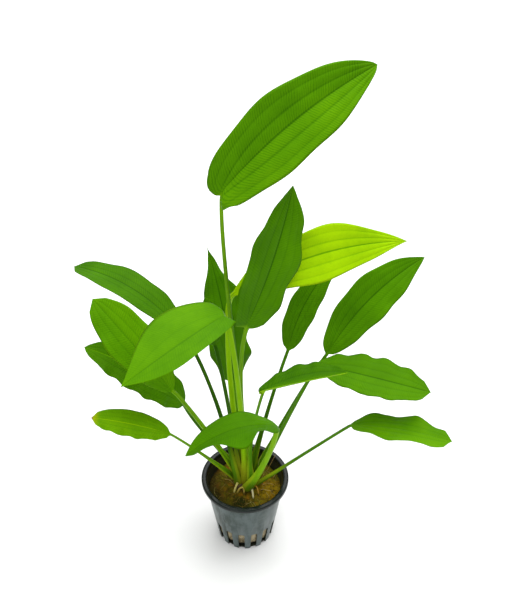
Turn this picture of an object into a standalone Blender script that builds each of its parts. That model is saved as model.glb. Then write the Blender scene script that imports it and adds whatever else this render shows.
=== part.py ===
"""A water plant with long-stalked leaves, growing from a fibre plug in a small slotted plastic pot.

Lengths are written in millimetres and turned into metres where the meshes are made. +Z is up, +Y
points away from the front, and the origin is the middle of the pot's underside.
"""

import math
from collections import namedtuple

import bmesh
import bpy
from mathutils import Vector

MM = 0.001
CLEARANCE = 0.3

# The pot: a thin tapered cup with an outward lip and upright slots round its foot.
POT_HEIGHT = 52.0
RIM_RADIUS = 27.5
LIP_DEPTH = 2.6
WALL_TOP_RADIUS = 24.9
WALL_FOOT_RADIUS = 17.6
WALL = 0.9
FLOOR = 1.2
FOOT_CHAMFER = 0.6
POT_SIDES = 48
SLOTS = 15
SLOT_TURN = -1.0
SLOT_WIDTH = 4.0
SLOT_TOP = 17.5
SLOT_INNER_RADIUS = 16.3

# The plug of growing fibre: it fills the pot to some way below the rim.
PLUG_EDGE_HEIGHT = 39.5
PLUG_TOP_HEIGHT = 41.0
PLUG_FLAT_RADIUS = 12.0
PLUG_FOOT_CHAMFER = 4.0

# The crown: the short stock that every leaf stalk grows from.
CROWN_CENTRE = (1.0, 3.5)
CROWN_RADIUS = 7.4
CROWN_HEIGHT = 3.4
CROWN_BEVEL = 1.2
OUTER = 6.2
INNER = 3.1

# A leaf: a tapering round stalk and a thin pointed blade.
STALK_ROOT_RADIUS = 1.3
STALK_TIP_RADIUS = 0.9
STALK_RINGS = 9
BLADE_THICKNESS = 0.8
BLADE_STATIONS = 12
BLADE_STRIPS = 4
BLADE_ROOT_HALF_WIDTH = 1.4
BLADE_TIP_HALF_WIDTH = 0.7
BASE_FULLNESS = 0.5
TIP_FULLNESS = 0.7

# name; ring and angle of its root on the crown; a point halfway up the stalk; where the blade starts
# and ends; blade width; arch: how far the blade's middle rises above a straight line; sweep: the same
# to its right; roll and twist: turn about its own length, right side up; fold: each half's rise from
# the midrib; widest: how far along it is widest.
Leaf = namedtuple("Leaf", "name ring angle via start tip width arch sweep roll twist fold widest")
LEAVES = (
    Leaf("top", INNER, 30, (-8, 2, 197), (-10.5, 4.5, 268), (67, 40, 320), 37.5, 4, -4.5, -48, 0, 12, 0.43),
    Leaf("tall", INNER, 330, (-2, -2.5, 130.5), (2, -10, 191), (26, 20, 261), 30, 3, 1, -60, 0, 6, 0.47),
    Leaf("front_left", INNER, 270, (-3.5, -8, 141.5), (-9.5, -15, 202.5), (-61, -62, 196),
         38, 4.5, -2.5, 0, 0, 4, 0.38),
    Leaf("upper_left", OUTER, 200, (-17, 6.5, 113.5), (-35, 20, 156), (-101, 56, 177),
         24.5, 10, -0.3, -5, 0, 6, 0.5),
    Leaf("middle_left", OUTER, 136, (-29, -7, 115), (-41, -12, 142), (-84, 12, 190),
         27, 5, 0, 30, 0, 5, 0.55),
    Leaf("back", INNER, 90, (-3.5, 15, 82.5), (-7, 28, 111), (-22, 60, 189), 28, 5, 0.5, 0, 0, 5, 0.42),
    Leaf("lower_left", OUTER, 104, (-25.5, 8, 85), (-37, 5, 114), (-93, 15, 150),
         27, 8, 0.5, 20, 0, 5, 0.47),
    Leaf("low_left", OUTER, 168, (-27.5, -4, 79), (-44, -12, 105), (-89, -12, 119), 17, 3, 0, 20, 0, 4, 0.5),
    Leaf("front", OUTER, 272, (12.5, -20.5, 90.5), (19, -35, 137), (-31, -60, 141), 22, 9, 0, 0, 0, 4, 0.45),
    Leaf("upper_right", OUTER, 40, (29, 12, 103), (50, 20, 142), (106, 55, 185),
         26, 5, -5.5, -40, 0, 8, 0.48),
    Leaf("middle_right", OUTER, 8, (26, 5, 100), (43, 12, 139), (108, -5, 133), 28, 3, 1.5, -10, 0, 4, 0.5),
    Leaf("small_right", OUTER, 304, (4, -6.5, 90.5), (11, -15, 145), (58, -12, 156),
         25, 0.6, 0, 0, 0, 6, 0.5),
    Leaf("back_right", OUTER, 72, (16, 20, 99), (27, 40, 125), (58, 62, 181), 17.5, 3, -5, -40, 0, 6, 0.42),
    Leaf("bright", INNER, 150, (-9.5, 16, 145), (-6, 8, 196.5), (90, 27, 219), 29.5, 6, -8, -55, 0, 5, 0.5),
    Leaf("small_left", INNER, 210, (-11, 4, 124.5), (-17, 12, 155), (-22, 20, 184), 14, 2, 0, 0, 0, 6, 0.5),
    Leaf("low_right", OUTER, 336, (34, -5, 77), (63, -10, 111), (120, -25, 113), 20, 4, 0.5, 0, 0, 4, 0.5),
)

# The thick roots that show at the crown's foot, as the points that each runs through.
ROOT_RADIUS = 0.6
ROOTS = {
    "root_left": ((-5.8, -1.8, 45.4), (-6.4, -3.2, 44.6), (-7.0, -5.0, 42.2)),
    "root_arch": ((-4.6, -5.2, 42.2), (-3.2, -4.9, 45.0), (-1.4, -5.0, 45.2), (-0.7, -5.8, 42.2)),
    "root_front": ((4.2, -4.4, 44.4), (4.8, -6.0, 44.0), (5.1, -9.2, 42.2)),
    "root_right": ((7.2, -2.6, 44.4), (8.0, -3.8, 43.8), (8.6, -6.2, 42.2)),
}

COLOURS = {
    "pot": (0.03, 0.04, 0.045),
    "plug": (0.16, 0.11, 0.03),
    "crown": (0.20, 0.16, 0.04),
    "root": (0.72, 0.66, 0.38),
    "stalk": (0.16, 0.36, 0.02),
    "blade": (0.08, 0.30, 0.01),
    "bright_blade": (0.35, 0.62, 0.01),
}


def clear_scene():
    for thing in list(bpy.data.objects):
        bpy.data.objects.remove(thing)


def collection(name):
    made = bpy.data.collections.new(name)
    bpy.context.scene.collection.children.link(made)
    return made


def material(name, roughness):
    made = bpy.data.materials.get(name)
    if made is None:
        made = bpy.data.materials.new(name)
        made.use_nodes = True
        shader = made.node_tree.nodes["Principled BSDF"]
        shader.inputs["Base Color"].default_value = (*COLOURS[name], 1.0)
        shader.inputs["Roughness"].default_value = roughness
        shader.inputs["Metallic"].default_value = 0.0
    return made


def place(name, data, into, finish):
    """Links a new object that holds this mesh or curve, with its material."""
    thing = bpy.data.objects.new(name, data)
    into.objects.link(thing)
    if finish is not None:
        data.materials.append(finish)
    return thing


def turned(name, profile, sides, into, finish):
    """A shape turned about Z from (radius, height) points, which run down its outer side."""
    mesh = bpy.data.meshes.new(name)
    points = [(radius * MM, 0.0, height * MM) for radius, height in profile]
    mesh.from_pydata(points, [(i, i + 1) for i in range(len(points) - 1)], [])
    thing = place(name, mesh, into, finish)
    screw = thing.modifiers.new("turn", "SCREW")
    screw.steps = sides
    screw.render_steps = sides
    screw.use_merge_vertices = True
    screw.merge_threshold = 0.00001
    return thing


def wall_radius(height):
    """Outer radius of the pot's tapered wall at this height."""
    share = height / (POT_HEIGHT - LIP_DEPTH)
    return WALL_FOOT_RADIUS + (WALL_TOP_RADIUS - WALL_FOOT_RADIUS) * share


def make_pot(into, cutters):
    lip_foot = POT_HEIGHT - LIP_DEPTH
    inner_top = WALL_TOP_RADIUS - WALL
    profile = [
        (0.0, FLOOR),
        (wall_radius(FLOOR) - WALL, FLOOR),
        (inner_top, lip_foot),
        (inner_top + 0.2, POT_HEIGHT - 0.5),
        (inner_top + 0.8, POT_HEIGHT),
        (RIM_RADIUS - 0.7, POT_HEIGHT),
        (RIM_RADIUS, POT_HEIGHT - 0.7),
        (RIM_RADIUS, lip_foot),
        (RIM_RADIUS - WALL, lip_foot),
        (RIM_RADIUS - WALL, lip_foot + 1.2),
        (WALL_TOP_RADIUS, lip_foot + 1.2),
        (WALL_TOP_RADIUS, lip_foot - 0.4),
        (wall_radius(FOOT_CHAMFER), FOOT_CHAMFER),
        (WALL_FOOT_RADIUS - FOOT_CHAMFER, 0.0),
        (0.0, 0.0),
    ]
    pot = turned("pot", profile, POT_SIDES, into, material("pot", 0.3))

    # One bar for each slot, run through the wall and the edge of the floor, all in one cutter.
    bars = bmesh.new()
    reach = RIM_RADIUS - SLOT_INNER_RADIUS
    for slot in range(SLOTS):
        made = bmesh.ops.create_cube(bars, size=1.0)["verts"]
        turn = math.tau * slot / SLOTS + math.radians(SLOT_TURN)
        outward = Vector((math.cos(turn), math.sin(turn), 0.0))
        across = Vector((-math.sin(turn), math.cos(turn), 0.0))
        middle = outward * (SLOT_INNER_RADIUS + reach / 2)
        for vert in made:
            x, y, z = vert.co
            spot = middle + outward * x * reach + across * y * SLOT_WIDTH
            spot.z = (SLOT_TOP - 1.0) / 2 + z * (SLOT_TOP + 1.0)
            vert.co = spot * MM
    mesh = bpy.data.meshes.new("slot_bars")
    bars.to_mesh(mesh)
    bars.free()
    cutter = place("slot_bars", mesh, cutters, None)
    cutter.hide_render = True
    cutter.display_type = "WIRE"
    cut = pot.modifiers.new("slots", "BOOLEAN")
    cut.operation = "DIFFERENCE"
    cut.object = cutter


def make_plug(into):
    foot = FLOOR + CLEARANCE
    inset = WALL + CLEARANCE

    def side(height):
        return (wall_radius(height) - inset, height)

    foot_radius = side(foot)[0] - PLUG_FOOT_CHAMFER * 0.5
    profile = [
        (0.0, PLUG_TOP_HEIGHT),
        (PLUG_FLAT_RADIUS, PLUG_TOP_HEIGHT),
        side(PLUG_EDGE_HEIGHT),
        side(foot + PLUG_FOOT_CHAMFER),
        (foot_radius, foot),
        (0.0, foot),
    ]
    turned("plug", profile, POT_SIDES, into, material("plug", 0.95))


def make_crown(into):
    foot = PLUG_TOP_HEIGHT + CLEARANCE
    shape = bmesh.new()
    bmesh.ops.create_cone(
        shape,
        cap_ends=True,
        segments=24,
        radius1=CROWN_RADIUS * MM,
        radius2=CROWN_RADIUS * MM,
        depth=CROWN_HEIGHT * MM,
    )
    mesh = bpy.data.meshes.new("crown")
    shape.to_mesh(mesh)
    shape.free()
    crown = place("crown", mesh, into, material("crown", 0.8))
    crown.location = Vector((*CROWN_CENTRE, foot + CROWN_HEIGHT / 2)) * MM
    bevel = crown.modifiers.new("round", "BEVEL")
    bevel.width = CROWN_BEVEL * MM
    bevel.segments = 2
    bevel.limit_method = "ANGLE"


def tube(name, points, radii, into, finish):
    """A round tube through these points, with a radius at each and closed ends."""
    curve = bpy.data.curves.new(name, "CURVE")
    curve.dimensions = "3D"
    curve.bevel_depth = MM
    curve.bevel_resolution = 2
    curve.use_fill_caps = True
    spline = curve.splines.new("POLY")
    spline.points.add(len(points) - 1)
    for spot, at, radius in zip(spline.points, points, radii):
        spot.co = (*(at * MM), 1.0)
        spot.radius = radius
    return place(name, curve, into, finish)


def bezier(ends, share):
    """The point at this share of a Bezier curve through any number of control points."""
    points = list(ends)
    while len(points) > 1:
        points = [a.lerp(b, share) for a, b in zip(points, points[1:])]
    return points[0]


def blade_frame(leaf):
    """The blade's direction, and its right side and upper face before it is rolled."""
    along = (Vector(leaf.tip) - Vector(leaf.start)).normalized()
    right = along.cross(Vector((0, 0, 1))).normalized()
    return along, right, right.cross(along)


def midrib(leaf):
    """The three control points of the curve that the blade's midrib follows."""
    start, tip = Vector(leaf.start), Vector(leaf.tip)
    along, right, upper = blade_frame(leaf)
    roll = math.radians(leaf.roll)
    face = upper * math.cos(roll) - right * math.sin(roll)
    side = right * math.cos(roll) + upper * math.sin(roll)
    middle = (start + tip) / 2 + face * 2 * leaf.arch + side * 2 * leaf.sweep
    return start, middle, tip


def half_width(leaf, share):
    """Half the blade's width at this share of its length: round at its base and pointed at its tip."""
    skew = math.log(0.5) / math.log(leaf.widest)
    fullness = BASE_FULLNESS + (TIP_FULLNESS - BASE_FULLNESS) * share
    swell = max(0.0, math.sin(math.pi * share**skew)) ** fullness
    least = BLADE_ROOT_HALF_WIDTH + (BLADE_TIP_HALF_WIDTH - BLADE_ROOT_HALF_WIDTH) * share
    return max(least, leaf.width / 2 * swell)


def blade_point(leaf, share, across):
    """A point of the blade's middle surface: share runs from base to tip, across from -1 to 1."""
    ends = midrib(leaf)
    spine = bezier(ends, share)
    onward = ((ends[1] - ends[0]).lerp(ends[2] - ends[1], share)).normalized()
    _, right, _ = blade_frame(leaf)
    right = (right - onward * right.dot(onward)).normalized()
    upper = right.cross(onward)
    roll = math.radians(leaf.roll + leaf.twist * (share - 0.5))
    side = right * math.cos(roll) + upper * math.sin(roll)
    face = upper * math.cos(roll) - right * math.sin(roll)
    reach = half_width(leaf, share)
    fold = math.radians(leaf.fold)
    return spine + side * across * reach * math.cos(fold) + face * abs(across) * reach * math.sin(fold)


def make_blade(leaf, into):
    grid = bmesh.new()
    bmesh.ops.create_grid(grid, x_segments=BLADE_STATIONS, y_segments=BLADE_STRIPS, size=1.0)
    length = (Vector(leaf.tip) - Vector(leaf.start)).length
    base_share = (CLEARANCE + BLADE_THICKNESS / 2 + STALK_TIP_RADIUS / 2) / length
    for vert in grid.verts:
        share = base_share + (1 - base_share) * (vert.co.x + 1) / 2
        vert.co = blade_point(leaf, share, -vert.co.y) * MM
    mesh = bpy.data.meshes.new("blade_" + leaf.name)
    grid.to_mesh(mesh)
    grid.free()
    mesh.shade_smooth()
    finish = material("bright_blade" if leaf.name == "bright" else "blade", 0.45)
    blade = place("blade_" + leaf.name, mesh, into, finish)
    skin = blade.modifiers.new("thickness", "SOLIDIFY")
    skin.thickness = BLADE_THICKNESS * MM
    skin.offset = 0.0


def make_stalk(leaf, into):
    turn = math.radians(leaf.angle)
    crown_top = PLUG_TOP_HEIGHT + CLEARANCE + CROWN_HEIGHT
    root = Vector((
        CROWN_CENTRE[0] + leaf.ring * math.cos(turn),
        CROWN_CENTRE[1] + leaf.ring * math.sin(turn),
        crown_top + CLEARANCE,
    ))
    top = Vector(leaf.start)
    bend = Vector(leaf.via) * 2 - (root + top) / 2
    root.z += STALK_ROOT_RADIUS * math.sin((bend - root).angle(Vector((0, 0, 1))))
    ends = (root, bend, top)
    shares = [ring / (STALK_RINGS - 1) for ring in range(STALK_RINGS)]
    points = [bezier(ends, share) for share in shares]
    radii = [STALK_ROOT_RADIUS + (STALK_TIP_RADIUS - STALK_ROOT_RADIUS) * min(1, 1.6 * s) for s in shares]
    tube("stalk_" + leaf.name, points, radii, into, material("stalk", 0.5))


def make_roots(into):
    for name, points in ROOTS.items():
        radii = [ROOT_RADIUS] * (len(points) - 1) + [ROOT_RADIUS * 0.7]
        tube(name, [Vector(point) for point in points], radii, into, material("root", 0.6))


def main():
    clear_scene()
    parts = collection("potted_water_plant")
    cutters = collection("cutters")
    make_pot(parts, cutters)
    make_plug(parts)
    make_crown(parts)
    make_roots(parts)
    for leaf in LEAVES:
        make_stalk(leaf, parts)
        make_blade(leaf, parts)


main()
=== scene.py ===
import math
from collections import namedtuple

import bmesh
import bpy
import numpy as np
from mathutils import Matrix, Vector, noise


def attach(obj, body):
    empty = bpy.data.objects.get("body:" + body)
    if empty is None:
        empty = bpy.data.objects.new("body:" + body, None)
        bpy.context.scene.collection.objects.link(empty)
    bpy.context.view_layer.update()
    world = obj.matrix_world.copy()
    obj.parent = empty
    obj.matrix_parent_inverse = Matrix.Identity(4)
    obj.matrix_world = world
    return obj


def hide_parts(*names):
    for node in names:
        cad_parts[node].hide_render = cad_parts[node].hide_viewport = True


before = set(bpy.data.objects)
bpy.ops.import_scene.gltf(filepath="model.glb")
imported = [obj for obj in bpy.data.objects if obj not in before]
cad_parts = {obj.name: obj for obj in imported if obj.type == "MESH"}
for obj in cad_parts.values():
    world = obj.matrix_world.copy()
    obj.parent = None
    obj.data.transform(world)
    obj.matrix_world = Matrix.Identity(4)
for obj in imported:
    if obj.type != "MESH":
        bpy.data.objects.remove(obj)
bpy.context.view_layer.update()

MM = 0.001

# The camera stands in front of the pot, well above it, and looks down at the middle of the plant.
# The floor is a wide white sheet, lit by one large soft lamp overhead and a weaker one in front.
camera = bpy.data.objects.new("camera", bpy.data.cameras.new("camera"))
bpy.context.scene.collection.objects.link(camera)
camera.location = (0.00632, -0.44525, 0.59014)
camera.rotation_euler = (math.radians(48.44), 0.0, 0.0)
camera.data.lens = 64.34
camera.data.sensor_width = 36.0
camera.data.clip_start = 0.01
bpy.context.scene.camera = camera
bpy.context.scene.view_settings.view_transform = "Standard"

world = bpy.data.worlds.new("studio")
world.use_nodes = True
world.node_tree.nodes["Background"].inputs["Color"].default_value = (1.0, 1.0, 1.0, 1.0)
world.node_tree.nodes["Background"].inputs["Strength"].default_value = 0.62
bpy.context.scene.world = world


def soft_lamp(name, at, aim, width, power):
    """A square area lamp that faces the point it is aimed at."""
    lamp = bpy.data.objects.new(name, bpy.data.lights.new(name, "AREA"))
    bpy.context.scene.collection.objects.link(lamp)
    lamp.data.size = width
    lamp.data.energy = power
    lamp.location = at
    lamp.rotation_euler = (Vector(aim) - Vector(at)).to_track_quat("-Z", "Y").to_euler()


soft_lamp("overhead_lamp", (0.15, 0.2, 1.15), (0, 0, 0.12), 1.3, 18.5)
soft_lamp("front_lamp", (-0.5, -1.1, 0.8), (0, 0, 0.12), 0.7, 4.0)


def add_mesh(name, points, faces, smooth=True):
    """Links a new mesh object made of these points (in metres) and faces."""
    mesh = bpy.data.meshes.new(name)
    mesh.from_pydata([tuple(point) for point in points], [], [tuple(face) for face in faces])
    mesh.polygons.foreach_set("use_smooth", [smooth] * len(mesh.polygons))
    mesh.update()
    piece = bpy.data.objects.new(name, mesh)
    bpy.context.scene.collection.objects.link(piece)
    return piece


class Signal:
    """An output socket of a material's node, which takes part in sums as a number would."""

    def __init__(self, tree, socket):
        self.tree = tree
        self.socket = socket

    def node(self, kind, settings=(), inputs=(), output=0):
        """Adds a node with these settings and inputs, and gives one of its outputs."""
        made = self.tree.nodes.new(kind)
        for name, value in dict(settings).items():
            if name == "stops":
                for _ in value[2:]:
                    made.color_ramp.elements.new(0.5)
                for stop, (place, colour) in zip(made.color_ramp.elements, value):
                    stop.position = place
                    stop.color = (*colour, 1.0)
            else:
                setattr(made, name, value)
        for name, value in dict(inputs).items():
            if isinstance(value, Signal):
                self.tree.links.new(value.socket, made.inputs[name])
            else:
                made.inputs[name].default_value = value
        return Signal(self.tree, made.outputs[output])

    def math(self, operation, first, second=0.0):
        return self.node("ShaderNodeMath", {"operation": operation}, {0: first, 1: second})

    def __add__(self, other):
        return self.math("ADD", self, other)

    def __radd__(self, other):
        return self.math("ADD", other, self)

    def __sub__(self, other):
        return self.math("SUBTRACT", self, other)

    def __rsub__(self, other):
        return self.math("SUBTRACT", other, self)

    def __mul__(self, other):
        return self.math("MULTIPLY", self, other)

    def __rmul__(self, other):
        return self.math("MULTIPLY", other, self)

    def __truediv__(self, other):
        return self.math("DIVIDE", self, other)

    def __pow__(self, other):
        return self.math("POWER", self, other)

    def __abs__(self):
        return self.math("ABSOLUTE", self)

    def sine(self):
        return self.math("SINE", self)

    def step(self, low, high):
        """Rises smoothly from 0 at low to 1 at high. With low above high it falls instead."""
        settings = {"interpolation_type": "SMOOTHSTEP"}
        if low < high:
            return self.node("ShaderNodeMapRange", settings, {0: self, 1: low, 2: high})
        return 1.0 - self.node("ShaderNodeMapRange", settings, {0: self, 1: high, 2: low})

    def blend(self, colour, other):
        """The first colour where this is 0, and the other where it is 1."""
        def rgba(value):
            return value if isinstance(value, Signal) else (*value, 1.0)

        settings = {"data_type": "RGBA"}
        return self.node("ShaderNodeMix", settings, {0: self, 6: rgba(colour), 7: rgba(other)}, 2)

    def shade(self, amount, colour):
        """Multiplies a colour by this, as far as amount says."""
        grey = self.node("ShaderNodeCombineColor", {}, {0: self, 1: self, 2: self})
        settings = {"data_type": "RGBA", "blend_type": "MULTIPLY"}
        return self.node("ShaderNodeMix", settings, {0: amount, 6: colour, 7: grey}, 2)


class Finish:
    """A material with a Principled shader: its steady values, and what varies over the surface."""

    def __init__(self, name, **steady):
        self.material = bpy.data.materials.new(name)
        self.material.use_nodes = True
        self.tree = self.material.node_tree
        self.shader = self.tree.nodes["Principled BSDF"]
        for socket, value in steady.items():
            self.shader.inputs[socket.replace("_", " ").title().replace("Ior", "IOR")].default_value = value
        place = self.tree.nodes.new("ShaderNodeTexCoord")
        self.place = Signal(self.tree, place.outputs["Object"])

    def noise(self, size, detail=3.0, roughness=0.55, stretch=(1, 1, 1), distortion=0.0):
        """Cloudy noise from 0 to 1, whose patches are about size metres across."""
        spot = self.place.node(
            "ShaderNodeVectorMath", {"operation": "MULTIPLY"}, {0: self.place, 1: stretch}
        )
        values = {"Vector": spot, "Scale": 1 / size, "Detail": detail, "Roughness": roughness}
        return self.place.node("ShaderNodeTexNoise", {}, {**values, "Distortion": distortion})

    def attribute(self, name):
        return self.place.node("ShaderNodeAttribute", {"attribute_name": name}, {}, "Fac")

    def vary(self, socket, signal):
        self.tree.links.new(signal.socket, self.shader.inputs[socket])

    def bump(self, height, depth, strength=1.0):
        """Raises the surface by up to depth metres where the height signal is 1."""
        values = {"Height": height, "Distance": depth, "Strength": strength}
        self.vary("Normal", self.place.node("ShaderNodeBump", {}, values))


floor = add_mesh("floor", [(-3, -3, 0), (3, -3, 0), (3, 3, 0), (-3, 3, 0)], [(0, 1, 2, 3)])
floor_paint = Finish("floor_paper", roughness=0.9)
floor_paint.shader.inputs["Base Color"].default_value = (0.93, 0.93, 0.93, 1.0)
floor.data.materials.append(floor_paint.material)


# The pot is injection-moulded from black plastic: a thin tapered cup with a rounded outward lip. The
# slots round its foot let water and roots through, and run on through the edge of its floor.
POT_HEIGHT = 52.0
RIM_RADIUS = 27.5
LIP_DEPTH = 2.6
WALL_TOP_RADIUS = 24.9
WALL_FOOT_RADIUS = 17.6
WALL = 0.9
POT_FLOOR = 1.2
POT_SIDES = 180
SLOTS = 15
SLOT_TURN = -1.0
SLOT_WIDTH = 4.0
SLOT_TOP = 17.5
SLOT_INNER_RADIUS = 16.3


def wall_radius(height):
    """Outer radius of the pot's tapered wall at this height."""
    share = height / (POT_HEIGHT - LIP_DEPTH)
    return WALL_FOOT_RADIUS + (WALL_TOP_RADIUS - WALL_FOOT_RADIUS) * share


def arc(centre, radius, start, end, steps):
    """Points of (radius, height) along an arc, whose angles are in degrees from straight out."""
    turns = [math.radians(start + (end - start) * i / steps) for i in range(steps + 1)]
    return [(centre[0] + radius * math.cos(t), centre[1] + radius * math.sin(t)) for t in turns]


def turned_mesh(name, profile, sides):
    """A shape turned about Z from a closed run of (radius, height) points, outer side going down."""
    points, faces, rows = [], [], []
    for radius, height in profile:
        if radius < 1e-6:
            rows.append([len(points)] * sides)
            points.append((0.0, 0.0, height * MM))
            continue
        rows.append(list(range(len(points), len(points) + sides)))
        for side in range(sides):
            turn = math.tau * side / sides
            points.append((radius * math.cos(turn) * MM, radius * math.sin(turn) * MM, height * MM))
    for upper, lower in zip(rows, rows[1:]):
        for side in range(sides):
            after = (side + 1) % sides
            corners = (upper[side], lower[side], lower[after], upper[after])
            faces.append(tuple(dict.fromkeys(corners)))
    return add_mesh(name, points, faces)


lip_foot = POT_HEIGHT - LIP_DEPTH
inner_top = WALL_TOP_RADIUS - WALL
pot_profile = [
    (0.0, POT_FLOOR),
    *arc((wall_radius(POT_FLOOR) - WALL - 0.8, POT_FLOOR + 0.8), 0.8, -90, 0, 4),
    (wall_radius(25) - WALL, 25.0),
    (inner_top, lip_foot),
    (inner_top + 0.25, POT_HEIGHT - 0.9),
    *arc((inner_top + 1.15, POT_HEIGHT - 0.9), 0.9, 180, 90, 5),
    *arc((RIM_RADIUS - 0.9, POT_HEIGHT - 0.9), 0.9, 90, 0, 6),
    *arc((RIM_RADIUS - 0.3, lip_foot + 0.3), 0.3, 0, -90, 3),
    (RIM_RADIUS - WALL, lip_foot),
    (RIM_RADIUS - WALL, lip_foot + 1.2),
    (WALL_TOP_RADIUS + 0.3, lip_foot + 1.2),
    (WALL_TOP_RADIUS, lip_foot + 0.6),
    (WALL_TOP_RADIUS, lip_foot - 0.4),
    (wall_radius(34), 34.0),
    (wall_radius(15), 15.0),
    *arc((wall_radius(0.8) - 0.8, 0.8), 0.8, 0, -90, 4),
    (0.0, 0.0),
]
pot = turned_mesh("slotted_pot", pot_profile, POT_SIDES)

bars = bmesh.new()
corner = 0.9
for slot in range(SLOTS):
    turn = math.tau * slot / SLOTS + math.radians(SLOT_TURN)
    outward = Vector((math.cos(turn), math.sin(turn), 0.0))
    across = Vector((-math.sin(turn), math.cos(turn), 0.0))
    half = SLOT_WIDTH / 2
    outline = [(half, -1.0), *arc((half - corner, SLOT_TOP - corner), corner, 0, 90, 5)]
    outline += [(-x, z) for x, z in reversed(outline)]
    near, far = [
        [bars.verts.new((outward * reach + across * x + Vector((0, 0, z))) * MM) for x, z in outline]
        for reach in (SLOT_INNER_RADIUS, RIM_RADIUS + 2.0)
    ]
    bars.faces.new(near)
    bars.faces.new(list(reversed(far)))
    for i in range(len(outline)):
        j = (i + 1) % len(outline)
        bars.faces.new((near[j], near[i], far[i], far[j]))
bmesh.ops.recalc_face_normals(bars, faces=bars.faces)
bar_mesh = bpy.data.meshes.new("slot_bars")
bars.to_mesh(bar_mesh)
bars.free()
cutter = bpy.data.objects.new("slot_bars", bar_mesh)
bpy.context.scene.collection.objects.link(cutter)


def apply_modifiers(piece):
    """Keeps the shape that a piece's modifiers give, and removes the modifiers."""
    graph = bpy.context.evaluated_depsgraph_get()
    made = bpy.data.meshes.new_from_object(piece.evaluated_get(graph))
    piece.modifiers.clear()
    piece.data = made


cut = pot.modifiers.new("slots", "BOOLEAN")
cut.operation = "DIFFERENCE"
cut.object = cutter
cut.solver = "EXACT"
soften = pot.modifiers.new("edges", "BEVEL")
soften.width = 0.12 * MM
soften.segments = 2
soften.limit_method = "ANGLE"
soften.angle_limit = math.radians(50)
soften.harden_normals = False
apply_modifiers(pot)
bpy.data.objects.remove(cutter)
pot.data.polygons.foreach_set("use_smooth", [True] * len(pot.data.polygons))
pot.data.set_sharp_from_angle(angle=math.radians(38))

pot_plastic = Finish("pot_plastic", specular_ior_level=0.2)
height = pot_plastic.place.node("ShaderNodeSeparateXYZ", {}, {0: pot_plastic.place}, 2)
grime = pot_plastic.noise(0.012, 5.0, 0.65)
streaks = pot_plastic.noise(0.006, 4.0, 0.6, (1, 1, 0.15))
grain = pot_plastic.noise(0.0007, 2.0)
# Painted reflection: the outer wall's colour runs from its own near-black plastic to a lighter grey-blue in patches.
# The grey-blue stands in for the white surroundings reflected in it.
patchy_sheen = (grime * 0.6 + streaks * 0.4).step(0.34, 0.56)
wall_tint_and_sheen = patchy_sheen.blend((0.024, 0.041, 0.034), (0.084, 0.110, 0.108))
stain = pot_plastic.noise(0.0035, 4.0, 0.65, (1, 1, 0.25)).step(0.48, 0.62)
sideways = pot_plastic.place.node("ShaderNodeSeparateXYZ", {}, {0: pot_plastic.place}, 0)
stain = stain * (0.25 + 0.6 * (sideways + 0.010 * (grime - 0.5)).step(-0.004, -0.012))
wall_tint_and_sheen = stain.blend(wall_tint_and_sheen, (0.010, 0.024, 0.016))
lip_tint = grime.step(0.4, 0.8).blend((0.003, 0.007, 0.005), (0.008, 0.014, 0.011))
radial = pot_plastic.place.node("ShaderNodeVectorMath", {"operation": "MULTIPLY"}, {0: pot_plastic.place, 1: (1, 1, 0)})
radial = radial.node("ShaderNodeVectorMath", {"operation": "LENGTH"}, {0: radial}, 1)
outside = (radial - (WALL_FOOT_RADIUS - 0.35) * MM - height * ((WALL_TOP_RADIUS - WALL_FOOT_RADIUS) / lip_foot)).step(0.0, 0.0003)
inner_tint = grime.step(0.4, 0.7).blend((0.018, 0.021, 0.013), (0.040, 0.042, 0.024))
lip_tint = height.step(0.0500, 0.0488).blend(lip_tint, inner_tint)
pot_plastic.vary("Base Color", (height.step(0.0494, 0.0490) * outside).blend(lip_tint, wall_tint_and_sheen))
pot_plastic.vary("Roughness", 0.16 + 0.12 * grime + height.step(0.050, 0.048) * (0.04 + 0.14 * streaks))
pot_plastic.bump(grain + 0.6 * streaks * height.step(0.0494, 0.048), 0.00005, 0.3)
pot.data.materials.clear()
pot.data.materials.append(pot_plastic.material)
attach(pot, "root")
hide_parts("pot")


# The plug is damp rock wool that fills the pot to some way below the rim. Its top has gone brown and
# mossy, with a dark green patch of algae in front of the crown, and pale fibre shows in the slots.
PLUG_TOP = 41.0
PLUG_EDGE = 39.5
PLUG_FLAT_RADIUS = 12.0
PLUG_FOOT = 1.5
PLUG_CHAMFER = 4.0
PLUG_INSET = 1.05
PLUG_SIDES = 160


def bumps(x, y, z, size, octaves=3):
    """Fractal noise of about -1 to 1 at a point in millimetres."""
    return noise.fractal(Vector((x, y, z)) / size, 0.9, 2.0, octaves)


def edge_rise(x, y):
    """How much higher the plug's top lies where it meets the wall at the sides and the back."""
    share = min(1.0, max(0.0, (y + 13.0) / 12.0)) * min(1.0, max(0.0, (math.hypot(x, y) - 10.0) / 10.0))
    return 2.3 * share * share * (3 - 2 * share)


plug_profile = [(0.0, PLUG_TOP)]
plug_profile += [(r, PLUG_TOP) for r in np.arange(0.8, PLUG_FLAT_RADIUS, 0.55)]
edge_radius = wall_radius(PLUG_EDGE) - PLUG_INSET
for share in np.linspace(0, 1, 22):
    radius = PLUG_FLAT_RADIUS + (edge_radius - PLUG_FLAT_RADIUS) * share
    plug_profile.append((radius, PLUG_TOP - (PLUG_TOP - PLUG_EDGE) * share - 0.5 * share**8))
for height in np.linspace(PLUG_EDGE - 0.8, PLUG_FOOT + PLUG_CHAMFER, 44):
    plug_profile.append((wall_radius(height) - PLUG_INSET, height))
foot_radius = wall_radius(PLUG_FOOT) - PLUG_INSET
for share in np.linspace(0.2, 1, 5):
    plug_profile.append((foot_radius - PLUG_CHAMFER * 0.5 * share + 0.6 * (1 - share), PLUG_FOOT + PLUG_CHAMFER * (1 - share)))
plug_profile += [(foot_radius * 0.6, PLUG_FOOT), (0.0, PLUG_FOOT)]
plug = turned_mesh("moss_plug", plug_profile, PLUG_SIDES)
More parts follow.
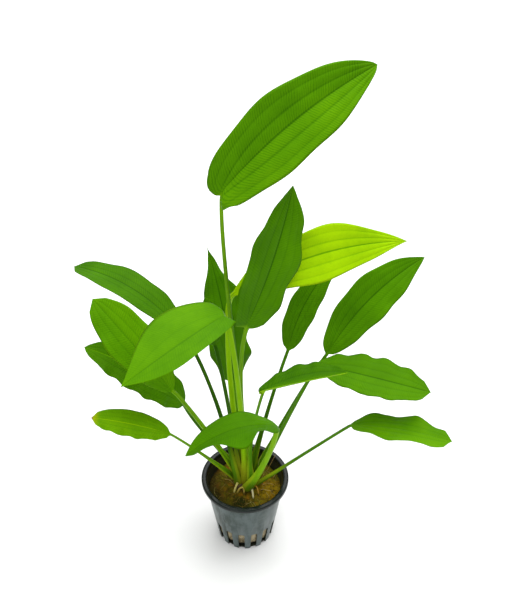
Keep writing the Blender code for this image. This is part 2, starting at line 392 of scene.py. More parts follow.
for vert in plug.data.vertices:
    x, y, z = vert.co / MM
    reach = math.hypot(x, y)
    if z > PLUG_EDGE - 1.0:
        lift = 0.9 * bumps(x, y, 3.0, 5.0) + 0.5 * bumps(x, y, 9.0, 1.6, 4)
        lift *= min(1.0, 0.25 + reach / 14.0)
        rise = edge_rise(x, y)
        spread = 1 + (WALL_TOP_RADIUS - WALL_FOOT_RADIUS) / lip_foot * rise / max(reach, 1.0)
        vert.co = (x * spread * MM, y * spread * MM, (z + rise + max(-1.2, min(1.2, lift))) * MM)
    elif z > PLUG_FOOT + 0.1 and reach > 1.0:
        press = 0.35 * bumps(x, y, z * 0.6, 2.0, 4) - 0.25
        vert.co.x += x / reach * press * MM
        vert.co.y += y / reach * press * MM

plug_fibre = Finish("plug_fibre", roughness=0.9, specular_ior_level=0.08)
spot = plug_fibre.place.node("ShaderNodeSeparateXYZ", {}, {0: plug_fibre.place}, 2)
patch = plug_fibre.noise(0.009, 4.0, 0.6, distortion=0.6)
mottle = plug_fibre.noise(0.0022, 5.0, 0.7)
strands = plug_fibre.noise(0.0011, 4.0, 0.7, (1.0, 1.0, 0.3), 1.5)
dirt = mottle.step(0.28, 0.64).blend((0.072, 0.053, 0.003), (0.185, 0.138, 0.006))
rust = (patch.step(0.46, 0.62) * 0.85).blend(dirt, (0.27, 0.125, 0.006))
moss = plug_fibre.noise(0.0065, 5.0, 0.65).step(0.45, 0.60)
top = (moss * 0.85).blend(rust, mottle.step(0.3, 0.7).blend((0.055, 0.054, 0.003), (0.175, 0.160, 0.008)))
gold_spot = plug_fibre.place.node(
    "ShaderNodeVectorMath", {"operation": "DISTANCE"}, {0: plug_fibre.place, 1: (0.015, -0.003, 0.041)}, 1
)
gold = (gold_spot + 0.008 * (patch - 0.5)).step(0.011, 0.003) * mottle.step(0.22, 0.56)
top = (gold * 0.8).blend(top, (0.30, 0.185, 0.004))
algae_spot = plug_fibre.place.node(
    "ShaderNodeVectorMath", {"operation": "DISTANCE"}, {0: plug_fibre.place, 1: (-0.002, -0.0135, 0.041)}, 1
)
algae = (algae_spot + 0.006 * (patch - 0.5)).step(0.0075, 0.003)
top = (algae * 0.85).blend(top, (0.008, 0.016, 0.004))
shade_spot = plug_fibre.place.node(
    "ShaderNodeVectorMath", {"operation": "DISTANCE"}, {0: plug_fibre.place, 1: (0.008, 0.006, 0.041)}, 1
)
top = ((shade_spot + 0.006 * (patch - 0.5)).step(0.020, 0.029) * 0.75).blend(top, (0.018, 0.014, 0.006))
side = (0.5 * strands + 0.5 * patch).step(0.36, 0.60).blend((0.075, 0.058, 0.026), (0.38, 0.32, 0.20))
# Painted shade: the plug's side turns nearly black below about 8.5 mm, where its foot sits in shadow behind the slots.
side = spot.step(0.0085, 0.004).blend(side, (0.004, 0.004, 0.003))
plug_fibre.vary("Base Color", spot.step(0.036, 0.0385).blend(side, top))
plug_fibre.bump(strands + 0.8 * mottle, 0.0004, 0.55)
plug.data.materials.append(plug_fibre.material)
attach(plug, "root")
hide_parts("plug")


def tube_mesh(points, radii, sides, start=0):
    """Points and faces of a closed tube along a run of points, all in millimetres."""
    points = np.asarray(points, float)
    ahead = np.gradient(points, axis=0)
    ahead /= np.linalg.norm(ahead, axis=1)[:, None]
    side = np.cross(ahead[0], (0.3, 0.2, 0.9))
    places, faces = [], []
    for at, way, radius in zip(points, ahead, radii):
        side = side - way * side.dot(way)
        side /= np.linalg.norm(side)
        other = np.cross(way, side)
        for turn in np.arange(sides) * math.tau / sides:
            places.append((at + radius * (side * math.cos(turn) + other * math.sin(turn))) * MM)
    rows = len(points)
    for row in range(rows - 1):
        for i in range(sides):
            a = start + row * sides + i
            b = start + row * sides + (i + 1) % sides
            faces.append((a, b, b + sides, a + sides))
    faces.append(tuple(start + i for i in reversed(range(sides))))
    faces.append(tuple(start + (rows - 1) * sides + i for i in range(sides)))
    return places, faces


def float_attribute(piece, name, values):
    layer = piece.data.attributes.new(name, "FLOAT", "POINT")
    layer.data.foreach_set("value", np.asarray(values, float))


# Loose fibres, rootlets and moss lie tangled over the top of the plug. They are fine threads, each a
# few tenths of a millimetre thick, that wander over its surface and end in it.
rng = np.random.default_rng(11)
CROWN_CENTRE = (1.0, 3.5)


def plug_surface(x, y):
    """Height of the plug's top at a point, in millimetres."""
    reach = math.hypot(x, y)
    share = max(0.0, (reach - PLUG_FLAT_RADIUS) / (edge_radius - PLUG_FLAT_RADIUS))
    lift = 0.9 * bumps(x, y, 3.0, 5.0) + 0.5 * bumps(x, y, 9.0, 1.6, 4)
    lift *= min(1.0, 0.25 + reach / 14.0)
    return PLUG_TOP - (PLUG_TOP - PLUG_EDGE) * share - 0.5 * share**8 + edge_rise(x, y) + max(-1.2, min(1.2, lift))


places, faces, tones = [], [], []
for thread in range(240):
    turn = rng.uniform(0, math.tau)
    reach = 21.5 * math.sqrt(rng.uniform(0.04, 1.0))
    x, y = reach * math.cos(turn), reach * math.sin(turn)
    way = turn + rng.normal(math.pi / 2, 0.9) if thread % 3 else turn + rng.normal(0, 0.35)
    step = rng.uniform(0.5, 0.95)
    count = int(rng.integers(6, 15))
    run = []
    for knot in range(count):
        if math.hypot(x, y) > 22.0:
            break
        lift = 0.22 * math.sin(math.pi * knot / (count - 1)) + 0.02
        run.append((x, y, plug_surface(x, y) + lift))
        way += rng.normal(0, 0.28)
        x += step * math.cos(way)
        y += step * math.sin(way)
    if len(run) < 4:
        continue
    thick = rng.uniform(0.06, 0.15)
    radii = [thick * (0.5 + 0.5 * math.sin(math.pi * min(0.95, max(0.05, i / (len(run) - 1))))) for i in range(len(run))]
    more, walls = tube_mesh(run, radii, 5, len(places))
    places += more
    faces += walls
    tones += [rng.uniform(0, 1)] * len(more)
fibres = add_mesh("loose_fibres", places, faces)
float_attribute(fibres, "tone", tones)
fibre_finish = Finish("loose_fibre", roughness=0.75, specular_ior_level=0.1)
tone = fibre_finish.attribute("tone")
ramp = {"stops": ((0.0, (0.06, 0.036, 0.005)), (0.45, (0.16, 0.10, 0.012)), (0.8, (0.27, 0.19, 0.03)), (1.0, (0.42, 0.36, 0.13)))}
fibre_finish.vary("Base Color", tone.node("ShaderNodeValToRGB", ramp, {0: tone}))
fibres.data.materials.append(fibre_finish.material)
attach(fibres, "root")

places, faces, tones = [], [], []
for tuft in range(1500):
    turn = rng.uniform(0, math.tau)
    reach = 22.0 * math.sqrt(rng.uniform(0.05, 1.0))
    x, y = reach * math.cos(turn), reach * math.sin(turn)
    if bumps(x, y, 20.0, 4.0) < 0.05:
        continue
    tone = rng.uniform(0, 1)
    z = plug_surface(x, y)
    for leaflet in range(4):
        way = rng.uniform(0, math.tau)
        lean = rng.uniform(0.2, 1.0)
        tall = rng.uniform(0.5, 1.0)
        out = np.array((math.cos(way) * lean, math.sin(way) * lean, 1.0)) * tall
        wide = np.array((-math.sin(way), math.cos(way), 0.0)) * 0.16
        deep = np.array((math.cos(way), math.sin(way), 0.0)) * 0.06
        foot = np.array((x, y, z - 0.15))
        base = len(places)
        places += [tuple(p * MM) for p in (foot - wide, foot + wide, foot + deep, foot + out)]
        faces += [(base, base + 1, base + 3), (base + 1, base + 2, base + 3), (base + 2, base, base + 3), (base, base + 2, base + 1)]
        tones += [tone] * 4
tufts = add_mesh("moss_tufts", places, faces, False)
float_attribute(tufts, "tone", tones)
moss_finish = Finish("moss", roughness=0.8, specular_ior_level=0.1)
tone = moss_finish.attribute("tone")
ramp = {"stops": ((0.0, (0.02, 0.02, 0.004)), (0.6, (0.075, 0.07, 0.010)), (1.0, (0.16, 0.13, 0.02)))}
moss_finish.vary("Base Color", tone.node("ShaderNodeValToRGB", ramp, {0: tone}))
tufts.data.materials.append(moss_finish.material)
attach(tufts, "root")


# The crown is the short stock that all the stalks grow from. What shows of it is a low brown mound,
# wrapped in the dry remains of older sheaths.
CROWN_RADIUS = 7.4
CROWN_HEIGHT = 4.2
crown_profile = [(0.0, CROWN_HEIGHT)]
for share in np.linspace(0.08, 1, 18):
    crown_profile.append((CROWN_RADIUS * math.sin(share * math.pi / 2), CROWN_HEIGHT * math.cos(share * math.pi / 2) ** 0.7))
crown_profile += [(CROWN_RADIUS * 0.96, -0.6), (0.0, -0.6)]
crown = turned_mesh("crown_stock", crown_profile, 96)
for vert in crown.data.vertices:
    x, y, z = vert.co / MM
    reach = math.hypot(x, y)
    turn = math.atan2(y, x)
    swell = 0.07 * math.sin(10 * turn + 1.0) + 0.12 * bumps(x, y, z, 2.2)
    vert.co.x += x * swell * MM
    vert.co.y += y * swell * MM
    vert.co.z += 0.25 * bumps(x, y, 5.0, 1.3) * MM if z > 0 else 0.0
    vert.co += Vector((*CROWN_CENTRE, PLUG_TOP + 0.1)) * MM
crown_skin = Finish("crown_skin", roughness=0.7)
rings = crown_skin.noise(0.0016, 5.0, 0.7, (1, 1, 0.4))
blotch = crown_skin.noise(0.004, 3.0)
tint = rings.step(0.32, 0.7).blend((0.025, 0.013, 0.004), (0.17, 0.10, 0.025))
crown_skin.vary("Base Color", blotch.step(0.48, 0.7).blend(tint, (0.12, 0.16, 0.02)))
crown_skin.bump(rings, 0.0006, 0.7)
crown.data.materials.append(crown_skin.material)
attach(crown, "root")
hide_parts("crown")


# The thick roots come out from under the crown and dive into the plug. They are plump, cream and a
# little glassy, and brown where they enter the fibre.
ROOTS = {
    "root_left": (0.25, 0.74, (-4.7, -0.8, 46.2), (-5.2, -1.8, 46.0), (-6.0, -3.2, 44.6), (-6.7, -4.4, 42.8), (-7.0, -5.0, 40.8)),
    "root_arch": (0.6, 0.6, (-4.9, -4.9, 40.8), (-4.2, -4.5, 43.4), (-2.9, -4.2, 45.3), (-1.4, -4.1, 45.8), (-0.7, -4.6, 44.4), (-0.6, -5.2, 42.2), (-0.6, -5.6, 40.8)),
    "root_front": (0.0, 0.68, (3.9, -3.2, 44.0), (4.4, -4.6, 44.6), (4.8, -6.4, 43.9), (5.1, -8.6, 42.4), (5.3, -9.8, 40.8)),
    "root_right": (1.0, 0.50, (6.6, -1.4, 44.0), (7.4, -2.8, 44.5), (8.0, -4.0, 43.8), (8.5, -5.8, 42.4), (8.8, -6.8, 40.8)),
}
root_skin = Finish("root_skin", roughness=0.4, specular_ior_level=0.3)
high = root_skin.place.node("ShaderNodeSeparateXYZ", {}, {0: root_skin.place}, 2)
blotch = root_skin.noise(0.0016, 3.0)
brown = root_skin.attribute("brown") + 0.3 * (blotch - 0.5)
ramp = {"stops": ((0.0, (0.78, 0.72, 0.40)), (0.30, (0.60, 0.52, 0.12)), (1.0, (0.40, 0.22, 0.02)))}
tint = brown.node("ShaderNodeValToRGB", ramp, {0: brown})
root_skin.vary("Base Color", high.step(0.0432, 0.0414).blend(tint, (0.13, 0.085, 0.02)))
root_skin.bump(root_skin.noise(0.0006, 2.0), 0.0001, 0.5)


def smooth_run(points, count):
    """A smooth curve of evenly spread points through a few points."""
    points = np.asarray(points, float)
    padded = np.vstack([2 * points[0] - points[1], points, 2 * points[-1] - points[-2]])
    run = []
    for share in np.linspace(0, len(points) - 1, count):
        i = min(int(share), len(points) - 2)
        t = share - i
        a, b, c, d = padded[i:i + 4]
        run.append(0.5 * (2 * b + (c - a) * t + (2 * a - 5 * b + 4 * c - d) * t**2 + (3 * b - a - 3 * c + d) * t**3))
    return np.array(run)


# A few rootlets as fine as threads stray over the plug, and one stands up beside the stalks.
ROOTLETS = (
    (0.24, (9.6, 3.0, 42.0), (11.6, 2.4, 50.0), (14.6, 1.2, 58.0), (19.0, 0.0, 72.5)),
    (0.10, (8.2, 5.0, 42.0), (8.6, 4.0, 60.0), (10.6, 3.0, 68.0)),
    (0.15, (-13.0, 5.2, 42.6), (-10.2, 4.4, 42.9), (-7.7, 2.3, 42.0), (-6.6, 1.4, 41.0)),
    (0.13, (9.0, -2.6, 41.0), (11.4, -2.8, 42.3), (14.7, -3.8, 42.4), (18.0, -3.6, 41.6)),
    (0.13, (9.6, 0.0, 41.2), (13.0, 1.6, 42.6), (17.4, 1.2, 42.6), (19.6, -1.4, 41.6)),
)
places, faces = [], []
for thick, *knots in ROOTLETS:
    run = smooth_run(knots, 26)
    more, walls = tube_mesh(run, np.linspace(thick, 0.06, len(run)), 6, len(places))
    places += more
    faces += walls
rootlets = add_mesh("rootlets", places, faces)
rootlet_skin = Finish("rootlet_skin", roughness=0.6)
blotch = rootlet_skin.noise(0.004, 2.0)
rootlet_skin.vary("Base Color", blotch.step(0.35, 0.65).blend((0.42, 0.22, 0.06), (0.62, 0.45, 0.17)))
rootlets.data.materials.append(rootlet_skin.material)
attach(rootlets, "root")


for name, (brown, thick, *knots) in ROOTS.items():
    run = smooth_run(knots, 30)
    shares = np.linspace(0, 1, len(run))
    radii = thick * (1 - 0.25 * shares) * (1 + 0.05 * np.sin(shares * 37))
    root = add_mesh("thick_" + name, *tube_mesh(run, radii, 14))
    float_attribute(root, "brown", [brown] * len(root.data.vertices))
    root.data.materials.append(root_skin.material)
    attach(root, "root")
    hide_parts(name)


# Each leaf is a long stalk that broadens into a sheath at the crown and carries a pointed blade. The
# blade has a midrib and two side veins in each half, which run from its base and meet at its tip.
# The stalk runs on under the blade as the midrib, so a leaf is one continuous skin.
CROWN_TOP = 44.7
OUTER = 6.2
INNER = 3.1
# After the shape that the blade and stalk share with the solid part come, for the visible leaf alone:
# lobes: how far its left and right halves reach back past the stalk; full: how blunt its base and its
# tip are, from 0 for square; curl: degrees that each half folds up more; ripple: height of the waves of
# its left and right margins; scallop: how far those waves widen it; waves and phase: how many and where
# they start; tone: 0 for dark to 1 for young; lit: painted light, how much lighter its right half is
# painted, as if that half faced the lamp; rib: how much lighter its midrib is; veins: how much darker
# and deeper its side veins are; stem: tone of its stalk; stout: thickness of its stalk.
Leaf = namedtuple(
    "Leaf",
    "name ring angle via start tip width arch sweep roll twist fold widest"
    " lobes full curl ripple scallop waves phase tone lit rib veins stem stout",
    defaults=((0, 0), (0.5, 0.7), (0, 0), (0.4, 0.4), (0.03, 0.03), 3.0, 0.0, 0.4, 0.1, -0.3, 0.09, 0.35, 1.0),
)
LEAVES = (
    Leaf("top", INNER, 30, (-8, 2, 197), (-10.5, 4.5, 268), (67, 40, 320), 37.5, 4, -4.5, -48, 0, 12, 0.43,
         lobes=(2.5, 8.5), full=(0.32, 0.68), ripple=(0.3, 0.4), waves=2.5, tone=0.40, lit=0.12, veins=0.17, stem=0.6),
    Leaf("tall", INNER, 330, (-2, -2.5, 130.5), (2, -10, 191), (26, 20, 261), 30, 3, 1, -60, 0, 6, 0.47,
         lobes=(0.5, 2.5), full=(0.20, 0.85), ripple=(0.8, 0.8), scallop=(0.06, 0.06), waves=3.0, phase=0.3, tone=0.27, stem=0.65,
         stout=1.2),
    Leaf("front_left", INNER, 270, (-3.5, -8, 141.5), (-9.5, -15, 202.5), (-61, -62, 196), 38, 4.5, -2.5, 0, 0, 4, 0.38,
         lobes=(0.0, 4.0), full=(0.36, 1.05), curl=(0, 8), ripple=(0.0, 0.0), scallop=(0.36, 0.12), waves=0.5,
         phase=0.483, tone=0.40, lit=0.06, veins=0.04,
         rib=-0.16, stem=0.9, stout=1.4),
    Leaf("upper_left", OUTER, 200, (-17, 6.5, 113.5), (-35, 20, 156), (-101, 56, 177), 24.5, 10, -0.3, -5, 0, 6, 0.5,
         full=(0.42, 0.42), ripple=(0.2, 0.3), tone=0.20, lit=-0.04, stem=0.14, stout=1.1),
    Leaf("middle_left", OUTER, 136, (-29, -7, 115), (-41, -12, 142), (-84, 12, 190), 27, 5, 0, 30, 0, 5, 0.55,
         lobes=(1.0, 1.0), full=(0.45, 0.55), ripple=(0.7, 0.4), waves=3.0, phase=0.4, tone=0.43, lit=0.1,
         rib=-0.12, stem=0.6, stout=1.1),
    Leaf("back", INNER, 90, (-3.5, 15, 82.5), (-7, 28, 111), (-22, 60, 189), 28, 5, 0.5, 0, 0, 5, 0.42,
         full=(0.40, 1.45), ripple=(1.0, 1.2), scallop=(0.08, 0.12), waves=4.0, phase=0.1, tone=0.25, lit=0.0, stem=0.5),
    Leaf("lower_left", OUTER, 104, (-25.5, 8, 85), (-37, 5, 114), (-93, 15, 150), 27, 8, 0.5, 20, 0, 5, 0.47,
         lobes=(1.5, 2.0), full=(0.42, 0.68), ripple=(1.0, 0.5), scallop=(0.07, 0.04), waves=5.0, phase=0.3, tone=0.30, lit=-0.08,
         rib=0.35, stem=0.3),
    Leaf("low_left", OUTER, 168, (-27.5, -4, 79), (-44, -12, 105), (-89, -12, 119), 17, 3, 0, 20, 0, 4, 0.5,
         full=(0.45, 0.45), ripple=(0.9, 0.15), scallop=(0.07, 0.0), waves=4.5, phase=0.2, tone=0.64, lit=-0.04, rib=0.25, stem=0.6,
         stout=0.75),
    Leaf("front", OUTER, 272, (12.5, -20.5, 90.5), (19, -35, 137), (-31, -60, 141), 22, 9, 0, 0, 0, 4, 0.45,
         lobes=(0.5, 0.0), full=(0.6, 0.8), ripple=(-1.0, 0.3), scallop=(0.40, 0.03), waves=1.9, phase=-0.83, tone=0.32, rib=-0.12, veins=0.05,
         stem=0.8, stout=1.5),
    Leaf("upper_right", OUTER, 40, (29, 12, 103), (50, 20, 142), (106, 55, 185), 26, 5, -5.5, -40, 0, 8, 0.48,
         lobes=(2.0, 1.0), full=(0.42, 0.85), ripple=(0.3, 0.5), waves=3.5, phase=0.2, tone=0.30, lit=0.07,
         stem=0.42),
    Leaf("middle_right", OUTER, 8, (26, 5, 100), (43, 12, 139), (108, -5, 133), 28, 3, 1.5, -10, 0, 4, 0.5,
         full=(0.5, 0.5), ripple=(0.7, 0.7), scallop=(0.045, 0.05), waves=4.5, phase=0.6, tone=0.36, lit=0.05, stem=0.45),
    Leaf("small_right", OUTER, 304, (4, -6.5, 90.5), (11, -15, 145), (58, -12, 156), 25, 0.6, 0, 0, 0, 6, 0.5,
         lobes=(5.0, 4.0), full=(0.5, 0.7), curl=(0, 38), ripple=(0.5, 0.3), waves=4.0, phase=0.5, tone=0.46, lit=0.6,
         stem=0.55, stout=0.9),
    Leaf("back_right", OUTER, 72, (16, 20, 99), (27, 40, 125), (58, 62, 181), 17.5, 3, -5, -40, 0, 6, 0.42,
         lobes=(0.5, 0.5), full=(0.5, 0.8), ripple=(0.3, 0.6), waves=4.0, phase=0.3, tone=0.31, lit=0.06,
         stem=0.22),
    # The bright leaf's high tone is partly its young pale green and partly painted light, standing in for the glow of a
    # thin leaf lit from behind.
    Leaf("bright", INNER, 150, (-9.5, 16, 145), (-6, 8, 196.5), (90, 27, 219), 29.5, 6, -8, -55, 0, 5, 0.5,
         full=(0.75, 1.05), ripple=(0.6, 0.3), scallop=(0.07, 0.03), waves=2.5, phase=0.55, tone=0.95, lit=0.0, rib=-0.3, veins=0.14, stem=1.0,
         stout=1.4),
    Leaf("small_left", INNER, 210, (-11, 4, 124.5), (-17, 12, 155), (-22, 20, 184), 14, 2, 0, 0, 0, 6, 0.5,
         full=(0.5, 0.75), tone=0.25, stem=0.1),
    Leaf("low_right", OUTER, 336, (34, -5, 77), (63, -10, 111), (120, -25, 113), 20, 4, 0.5, 0, 0, 4, 0.5,
         full=(0.45, 0.30), ripple=(1.2, 0.9), scallop=(0.09, 0.17), waves=2.3, phase=-0.25, tone=0.47, rib=-0.05, stem=0.4,
         stout=0.9),
)
AGEING_LEAF = "low_left"
SIDE_VEINS = (0.37, 0.72)
RINGS_ON_BLADE = 96
RINGS_ON_STALK = 44
STALK_FOOT_RADIUS = 1.5
STALK_RADIUS = 1.0
SHEATH_HALF_WIDTH = 3.1
SHEATH_HEIGHT = 21.0
VEIN_FAN = 1.5
TIP_SLOPE = 1.4
LAMINA = 0.22
MIDRIB_RADIUS = 0.75

# Where the points of each ring lie across the blade: close together at every vein.
vein_places = sorted([0.0, *SIDE_VEINS, *(-v for v in SIDE_VEINS)])
spread = set()
for vein in vein_places:
    spread |= {vein - 0.055, vein, vein + 0.055}
for low, high in zip([-1.0, *vein_places], [*vein_places, 1.0]):
    for share in (0.0, 0.32, 0.5, 0.68, 1.0):
        if abs(low) == 1.0 or abs(high) == 1.0 or 0.0 < share < 1.0:
            spread.add(low + (high - low) * share)
ACROSS = np.array(sorted({round(value, 4) for value in spread}))


def unit(vectors):
    return vectors / np.linalg.norm(vectors, axis=-1, keepdims=True)


def quadratic(a, b, c, share):
    share = share[:, None]
    return a * (1 - share) ** 2 + b * 2 * share * (1 - share) + c * share**2


def settle(values, rounds):
    """Evens out a run of vectors, end points apart."""
    for _ in range(rounds):
        values[1:-1] = (values[:-2] + 2 * values[1:-1] + values[2:]) / 4
    return values


def leaf_skin(leaf):
    """The leaf's closed skin: points in millimetres, faces, and what the finish reads at each point."""
    start, tip, via = (np.array(at, float) for at in (leaf.start, leaf.tip, leaf.via))
    up = np.array((0.0, 0.0, 1.0))
    along = unit(tip - start)
    level = unit(np.cross(along, up))
    upper = np.cross(level, along)
    roll = math.radians(leaf.roll)
    face_way = upper * math.cos(roll) - level * math.sin(roll)
    side_way = level * math.cos(roll) + upper * math.sin(roll)
    middle = (start + tip) / 2 + face_way * 2 * leaf.arch + side_way * 2 * leaf.sweep

    # The middle line: up the stalk from the crown, then on along the midrib.
    turn = math.radians(leaf.angle)
    outward = np.array((math.cos(turn), math.sin(turn), 0.0))
    foot = np.array((*CROWN_CENTRE, CROWN_TOP - 2.2)) + outward * leaf.ring
    bend = via * 2 - (foot + start) / 2
    rise = np.linspace(0, 1, RINGS_ON_STALK + 1)[:-1] ** 1.15
    run = np.linspace(0, 1, RINGS_ON_BLADE)
    run = run - 0.09 * np.sin(math.tau * run)
    line = np.vstack([quadratic(foot, bend, start, rise), quadratic(start, middle, tip, run)])
    share = np.concatenate([rise - 1, run])
    on_blade = share >= 0

    # Which way is sideways: round the crown at the foot, and across the blade at the top.
    onward = unit(np.vstack([np.gradient(line[~on_blade], axis=0), np.gradient(line[on_blade], axis=0)]))
    flat = unit(level - onward * (onward @ level)[:, None])
    over = np.cross(flat, onward)
    tilt = np.radians(leaf.roll + leaf.twist * (share - 0.5))[:, None]
    sideways = flat * np.cos(tilt) + over * np.sin(tilt)
    round_crown = np.cross(outward, up)
    nearness = min(1.0, max(0.0, -3 * outward[1]))
    round_crown = unit(round_crown + np.array((math.copysign(nearness, round_crown[0]), 0.0, 0.0)))
    if round_crown @ sideways[RINGS_ON_STALK] < 0:
        round_crown = -round_crown
    change = (np.clip(rise, 0, 1) ** 1.5)[:, None]
    sideways[~on_blade] = round_crown * (1 - change) + sideways[RINGS_ON_STALK] * change
    near = slice(RINGS_ON_STALK - 7, RINGS_ON_STALK + 8)
    line[near] = settle(line[near].copy(), 12)
    onward = unit(np.gradient(line, axis=0))
    onward[near] = unit(settle(onward[near].copy(), 12))
    sideways = unit(sideways - onward * np.sum(onward * sideways, axis=1)[:, None])
    facing = np.cross(sideways, onward)

    # How wide the blade is, and how thick the stalk.
    t = np.clip(share, 0, 1)
    skew = math.log(0.5) / math.log(leaf.widest)
    full = leaf.full[0] + (leaf.full[1] - leaf.full[0]) * t
    half = leaf.width / 2 * np.sin(np.pi * np.clip(t, 1e-6, 1) ** skew).clip(0, 1) ** full
    half = np.minimum(half, TIP_SLOPE * (1 - t) * np.linalg.norm(tip - start))
    below = np.clip(-share, 0, 1)
    stalk = STALK_RADIUS * leaf.stout + (STALK_FOOT_RADIUS - STALK_RADIUS) * below**2
    climb = np.linalg.norm(line - foot, axis=1)
    widen = 1 + (SHEATH_HALF_WIDTH * leaf.stout**0.6 / stalk - 1) * np.exp(-((climb / SHEATH_HEIGHT) ** 1.5))
    widen[on_blade] = 1.0
    midrib = np.where(share < 0, stalk, MIDRIB_RADIUS * (1 - t) ** 0.7 + 0.08)
    tubular = np.clip(1 - half / 3.0, 0, 1) * (share < 0.5)
    tubular[~on_blade] = 1.0
    half = np.maximum(half, np.where(share < 0.5, stalk * (1 - np.clip(t * 20, 0, 1)) + 0.05, 0.12))

    a = np.concatenate([ACROSS, ACROSS[::-1][1:-1]])
    top = np.concatenate([np.ones(len(ACROSS)), -np.ones(len(ACROSS) - 2)])
    rings, count = len(share), len(a)
    t2, a2 = t[:, None], a[None, :]
    size = np.abs(a2)

    # The lamina: folded along the midrib, sunk at each vein, quilted between them, wavy at its edge.
    fold = np.radians(leaf.fold + np.where(a2 < 0, leaf.curl[0], leaf.curl[1]))
    place = np.sign(a2) * size ** (1 + VEIN_FAN * np.exp(-t2 / 0.09))
    reach = half[:, None] * place
    swell = np.zeros((rings, count))
    for vein in SIDE_VEINS:
        swell -= 1.2 * leaf.veins * np.exp(-(((size - vein) / 0.045) ** 2))
    swell -= 0.20 * np.exp(-((size / 0.04) ** 2))
    swell += leaf.width * 0.035 * leaf.veins * np.sin(np.pi * size / SIDE_VEINS[0]) ** 2 * (size < 2 * SIDE_VEINS[0])
    window = np.clip(t2 / 0.12, 0, 1) * np.clip((1 - t2) / 0.06, 0, 1)
    swell *= window
    side_phase = np.where(a2 < 0, 0.0, 0.37)
    turns = math.tau * (leaf.waves * t2 + leaf.phase + side_phase)
    wave = np.sin(turns) + 0.30 * np.sin(1.7 * turns + 1.0) + 0.10 * np.sin(3.3 * turns + 2.0)
    strength = np.where(a2 < 0, leaf.ripple[0], leaf.ripple[1])
    ripple = strength * wave * size**2 * np.clip(t2 / 0.15, 0, 1) * np.clip((1 - t2) / 0.12, 0, 1)
    edge_window = np.clip(t2 / 0.04, 0, 1) * np.clip((1 - t2) / 0.06, 0, 1)
    edge = 1 + np.where(a2 < 0, *leaf.scallop) * np.sin(turns + 0.8) * size**2 * edge_window
    lift = np.abs(reach) * np.sin(fold) + swell + ripple
    thick = LAMINA * (1 - 0.45 * size**3) * np.where(top > 0, 1, -1)[None, :]
    under = np.where(top < 0, 1.0, 0.0)[None, :]
    rib = under * midrib[:, None] * np.sqrt(np.clip(1 - (reach / np.maximum(midrib[:, None], 1e-3)) ** 2, 0, 1))
    for vein in SIDE_VEINS:
        rib = rib + under * 0.18 * np.exp(-(((size - vein) / 0.03) ** 2)) * window
    leafy_side = reach * np.cos(fold) * edge
    leafy_face = lift + thick - rib

    # The stalk: nearly round, with three soft corners, and flattened where it sheathes the crown.
    angle = np.arccos(np.clip(a2, -1, 1)) * np.where(top > 0, 1, -1)[None, :]
    corners = 1 + 0.10 * np.cos(3 * (angle + math.pi / 2))
    round_side = stalk[:, None] * corners * np.cos(angle) * widen[:, None]
    groove = 0.35 * np.exp(-((angle - math.pi / 2) / 0.5) ** 2)
    round_face = stalk[:, None] * (corners * np.sin(angle) - groove) + 0.45 * (widen[:, None] - 1) * a2**2

    q = tubular[:, None]
    across = leafy_side * (1 - q) + round_side * q
    above = leafy_face * (1 - q) + round_face * q
    lobe = np.where(a2 < 0, leaf.lobes[0], leaf.lobes[1])
    back = lobe * np.sin(0.82 * np.pi * np.abs(place) ** 0.6) ** 1.3 * np.exp(-((t2 / 0.10) ** 1.5)) * (1 - q)
    points = (
        line[:, None, :]
        + sideways[:, None, :] * across[..., None]
        + facing[:, None, :] * above[..., None]
        - onward[:, None, :] * back[..., None]
    )

    faces = []
    for ring in range(rings - 1):
        for i in range(count):
            j = (i + 1) % count
            faces.append((ring * count + i, ring * count + j, (ring + 1) * count + j, (ring + 1) * count + i))
    faces.append(tuple(reversed(range(count))))
    faces.append(tuple((rings - 1) * count + i for i in range(count)))

    length = np.concatenate([[0.0], np.cumsum(np.linalg.norm(np.diff(line, axis=0), axis=1))])
    length -= length[RINGS_ON_STALK]
    fields = {
        "share": np.repeat(share, count),
        "travel": np.repeat(length, count) * MM,
        "across": np.tile(a, rings),
        "reach": (np.abs(across)).ravel() * MM,
        "underside": np.tile(np.where(top > 0, 0.0, 1.0), rings),
        "tone": leaf.tone + 0.5 * leaf.lit * np.tile(np.tanh(6 * a), rings),
        "rib": np.full(rings * count, leaf.rib),
        "veins": np.full(rings * count, leaf.veins),
        "stem": np.full(rings * count, leaf.stem),
        "climb": np.repeat(climb, count) * MM,
        "inner": np.full(rings * count, float(leaf.ring == INNER)),
        "ageing": np.full(rings * count, float(leaf.name == AGEING_LEAF)),
    }
    return points.reshape(-1, 3), faces, fields


leaf_tissue = Finish("leaf_tissue")
leaf_tissue.shader.inputs["Specular IOR Level"].default_value = 0.08
leaf_tissue.shader.inputs["Specular Tint"].default_value = (0.80, 1.0, 0.12, 1.0)
share = leaf_tissue.attribute("share")
travel = leaf_tissue.attribute("travel")
across = leaf_tissue.attribute("across")
reach = leaf_tissue.attribute("reach")
underside = leaf_tissue.attribute("underside")
cloud = leaf_tissue.noise(0.018, 3.0)
mottle = leaf_tissue.noise(0.005, 3.0)
speckle = leaf_tissue.noise(0.0015, 3.0, 0.6)
on_blade = share.step(-0.004, 0.012)
inward = abs(across)

# Fine veins cross from the midrib to the margin like the rungs of a ladder, a little over 1 mm apart.
wander = leaf_tissue.noise(0.006, 2.0)
rungs = ((travel - reach * 0.55 + 0.0022 * wander) * (math.tau / 0.0014)).sine().step(-0.1, 1.0)
midrib_line = inward.step(0.045, 0.012)
side_lines = abs(inward - SIDE_VEINS[0]).step(0.055, 0.0) + abs(inward - SIDE_VEINS[1]).step(0.045, 0.0) * 0.6
side_lines = side_lines * share.step(0.0, 0.06)

rung_depth = (0.02 + 0.9 * leaf_tissue.attribute("veins")) * leaf_tissue.attribute("tone").step(0.95, 0.60)
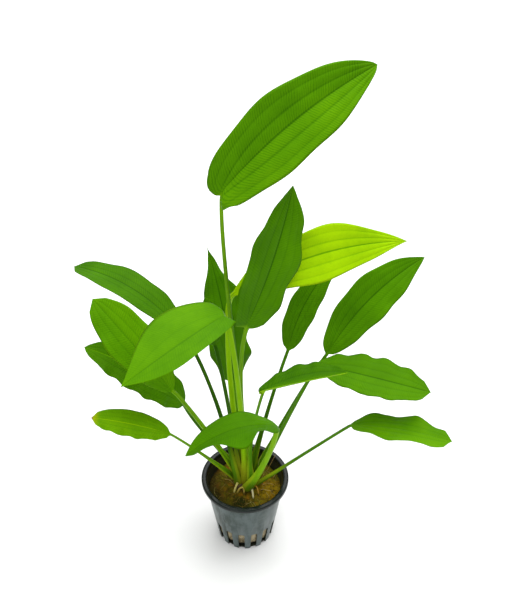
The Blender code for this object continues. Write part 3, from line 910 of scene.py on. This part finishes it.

# A tone runs from 0, old and dark, to 1, young, with painted light on each leaf's lit half. Every vein and the
# underside shift it, and a painted highlight lightens the margin.
tone = leaf_tissue.attribute("tone") + 0.34 * (cloud - 0.5) + 0.12 * (mottle - 0.5) + 0.07 * (speckle - 0.5)
tone = tone - rung_depth * rungs * mottle.step(0.3, 0.6) - leaf_tissue.attribute("veins") * side_lines + leaf_tissue.attribute("rib") * midrib_line
# Painted highlight: a thin lighter line along the very edge of each blade.
tone = tone + 0.12 * underside + 0.26 * inward.step(0.95, 1.0)
ramp = {"stops": (
    (0.0, (0.021, 0.096, 0.0006)),
    (0.35, (0.058, 0.192, 0.0008)),
    (0.65, (0.110, 0.292, 0.0010)),
    (1.0, (0.300, 0.530, 0.0016)),
)}
green = tone.node("ShaderNodeValToRGB", ramp, {0: tone})
yellow = (share + 0.05 * (cloud - 0.5)).step(0.88, 1.0) * leaf_tissue.attribute("ageing")
green = (yellow * 0.7).blend(green, (0.40, 0.42, 0.004))
scorch = share.step(0.972, 0.992) * leaf_tissue.attribute("ageing")
green = scorch.blend(green, (0.16, 0.035, 0.012))
# Painted shade: each stalk's under side is painted darker than its upper side.
stem = leaf_tissue.attribute("stem") + 0.25 * (cloud - 0.5) - 0.12 * underside
ramp = {"stops": ((0.0, (0.014, 0.066, 0.002)), (0.45, (0.060, 0.190, 0.002)), (1.0, (0.270, 0.520, 0.002)))}
stem_green = stem.node("ShaderNodeValToRGB", ramp, {0: stem})
climb = leaf_tissue.attribute("climb") + 0.012 * (cloud - 0.5)
# The sheaths' yellow-green margins and the brownish yellow of the inner leaves' sheaths are partly their own colour and
# partly painted light, made lighter to stand in for their glow where light shines through them.
sheath_tint_and_glow = (1.0 - inward).step(0.04, 0.6).blend((0.34, 0.45, 0.012), (0.125, 0.29, 0.008))
sheath_tint_and_glow = (leaf_tissue.attribute("inner") * 0.8).blend(sheath_tint_and_glow, (0.33, 0.29, 0.012))
stem_green = (climb.step(0.040, 0.014) * 0.75).blend(stem_green, sheath_tint_and_glow)
stem_green = (climb.step(0.009, 0.000) * (0.45 + 0.4 * leaf_tissue.attribute("inner"))).blend(stem_green, (0.17, 0.085, 0.008))
leaf_tissue.vary("Base Color", on_blade.blend(stem_green, green))
leaf_tissue.vary("Roughness", 0.40 + 0.12 * speckle + 0.2 * underside)
leaf_tissue.bump(on_blade * (1.0 - rungs) + mottle * 0.5, 0.00006, 0.4)

for leaf in LEAVES:
    points, faces, fields = leaf_skin(leaf)
    piece = add_mesh("leaf_" + leaf.name, points * MM, faces)
    for name, values in fields.items():
        float_attribute(piece, name, values)
    piece.data.materials.append(leaf_tissue.material)
    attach(piece, "root")
    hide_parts("stalk_" + leaf.name, "blade_" + leaf.name)
